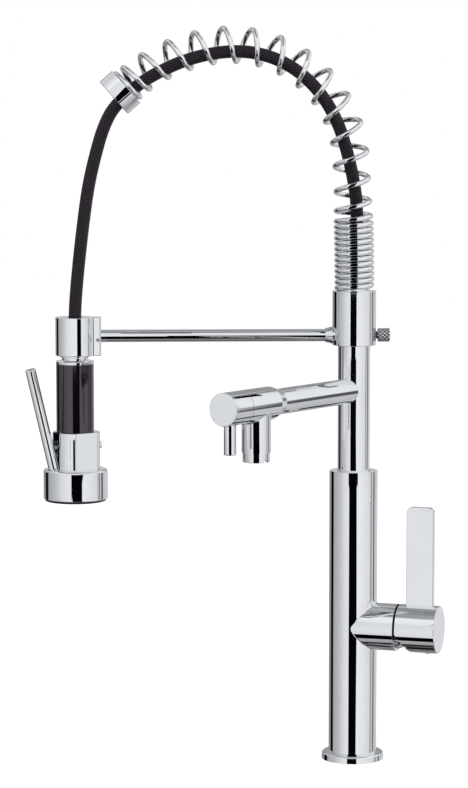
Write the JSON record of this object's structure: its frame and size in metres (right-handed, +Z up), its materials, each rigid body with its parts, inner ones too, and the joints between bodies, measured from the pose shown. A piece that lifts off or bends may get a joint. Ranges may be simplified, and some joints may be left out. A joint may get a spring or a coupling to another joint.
{
  "type": "side spray kitchen faucet",
  "caption": "Tall kitchen tap with a side lever mixer, a swivelling pot filler spout with its own valve, and a trigger spray head on a spring carried hose.",
  "frame": {"origin": "centre of the base flange's underside, on the worktop", "axes": "+Z up along the column; the spring arch and the bracket arm lie in the XZ plane with the spray head on the -X side; -Y is the side of the spout and of the viewer"},
  "size_m": [0.3601, 0.1874, 0.6319],
  "materials": {
    "chrome": "polished chrome plate",
    "spring_chrome": "polished chrome wire",
    "steel": "plain turned steel",
    "dark_steel": "dark knurled steel",
    "brass": "raw turned brass",
    "black_rubber": "smooth black rubber",
    "nozzle_rubber": "soft grey nozzle rubber",
    "hose_braid": "fine dark nylon braid over rubber",
    "grip_black": "glossy purple-black plastic",
    "white_plastic": "moulded acetal",
    "grey_plastic": "moulded grey plastic",
    "black_plastic": "moulded black plastic"
  },
  "bodies": {
    "base": {"base_flange": "chrome", "base_gasket": "black_rubber", "base_plug": "brass", "mixer_body": "chrome", "retaining_ring": "chrome", "swivel_bush": "white_plastic", "swivel_guide": "white_plastic", "cartridge": "white_plastic", "cartridge_nut": "brass", "dome_cover": "chrome"},
    "temperature_stem": {"stem_carrier": "white_plastic", "stem_pin": "steel"},
    "mixer_handle": {"mixer_lever": "chrome", "lever_stem": "brass", "lever_grub_screw": "steel", "screw_plug": "chrome"},
    "column": {"upper_tube": "chrome", "spout_arm": "chrome", "swivel_o_rings": "black_rubber", "spout_valve_body": "chrome", "aerator_housing": "chrome", "aerator_insert": "grey_plastic", "valve_headwork": "brass"},
    "spout_handle": {"valve_spindle": "brass", "spout_knob": "chrome", "knob_screw": "steel", "knob_cap": "chrome", "knob_pin": "chrome"},
    "arm_bracket": {"collar": "chrome", "collar_bush": "white_plastic", "arm_rod": "chrome", "holder_sleeve": "chrome", "sleeve_liner": "black_plastic", "holder_set_screw": "steel", "spring_seat": "chrome", "arch_spring": "spring_chrome", "spring_ferrule": "chrome", "hose_upper": "hose_braid", "hose_drop": "hose_braid", "hose_inlet_crimp": "steel"},
    "thumb_knob": {"thumb_screw": "dark_steel"},
    "hose_end": {"docking_nut": "chrome", "hose_crimp": "steel"},
    "spray_head": {"grip_ring": "chrome", "grip_sleeve": "grip_black", "grip_tube": "brass", "head_body": "chrome", "trigger_pivot": "steel", "bell": "chrome", "bell_rim": "black_rubber", "diffuser": "black_plastic", "spray_plate": "black_plastic", "nozzle_tips": "nozzle_rubber", "plate_screw": "steel", "pin_guide": "black_plastic", "valve_cap": "chrome"},
    "trigger": {"trigger_lever": "chrome"},
    "valve_needle": {"valve_pin": "steel"}
  },
  "joints": [
    {"name": "mixer_temperature", "type": "hinge", "parent": "base", "child": "temperature_stem", "pos_m": [0, 0, 0.117], "axis": [0.9367, -0.3502, 0], "range_deg": [-50, 50]},
    {"name": "mixer_flow", "type": "hinge", "parent": "temperature_stem", "child": "mixer_handle", "pos_m": [0.03466, -0.01296, 0.117], "axis": [0.3502, 0.9367, 0], "range_deg": [0, 25]},
    {"name": "column_swivel", "type": "hinge", "parent": "base", "child": "column", "pos_m": [0, 0, 0.24], "axis": [0, 0, 1], "range_deg": [-180, 180]},
    {"name": "spout_valve", "type": "hinge", "parent": "column", "child": "spout_handle", "pos_m": [-0.11082, -0.14184, 0.3214], "axis": [-0.6157, -0.788, 0], "range_deg": [0, 90]},
    {"name": "bracket_swivel", "type": "hinge", "parent": "column", "child": "arm_bracket", "pos_m": [0, 0, 0.384], "axis": [0, 0, 1], "range_deg": [-180, 180]},
    {"name": "thumb_turn", "type": "hinge", "parent": "arm_bracket", "child": "thumb_knob", "pos_m": [0.025, 0, 0.369], "axis": [1, 0, 0], "range_deg": [0, 360]},
    {"name": "handset_pull", "type": "slide", "parent": "arm_bracket", "child": "hose_end", "axis": [0, 0, -1], "range_m": [0, 0.1], "deforming": ["hose_drop"]},
    {"name": "handset_swivel", "type": "hinge", "parent": "hose_end", "child": "spray_head", "pos_m": [-0.2392, 0, 0.35], "axis": [0, 0, 1], "continuous": true},
    {"name": "trigger_press", "type": "hinge", "parent": "spray_head", "child": "trigger", "pos_m": [-0.25625, -0.01045, 0.2498], "axis": [-0.5225, 0.8526, 0], "range_deg": [0, 10], "stiffness_Nm_per_rad": 0.6, "springref_deg": -8.59},
    {"name": "valve_pin_slide", "type": "slide", "parent": "spray_head", "child": "valve_needle", "axis": [0.8526, 0.5225, 0], "range_m": [0, 0.0045]}
  ],
  "couplings": [
    {"joint": "valve_pin_slide", "follows": "trigger_press", "m_per_rad": 0.0245}
  ]
}
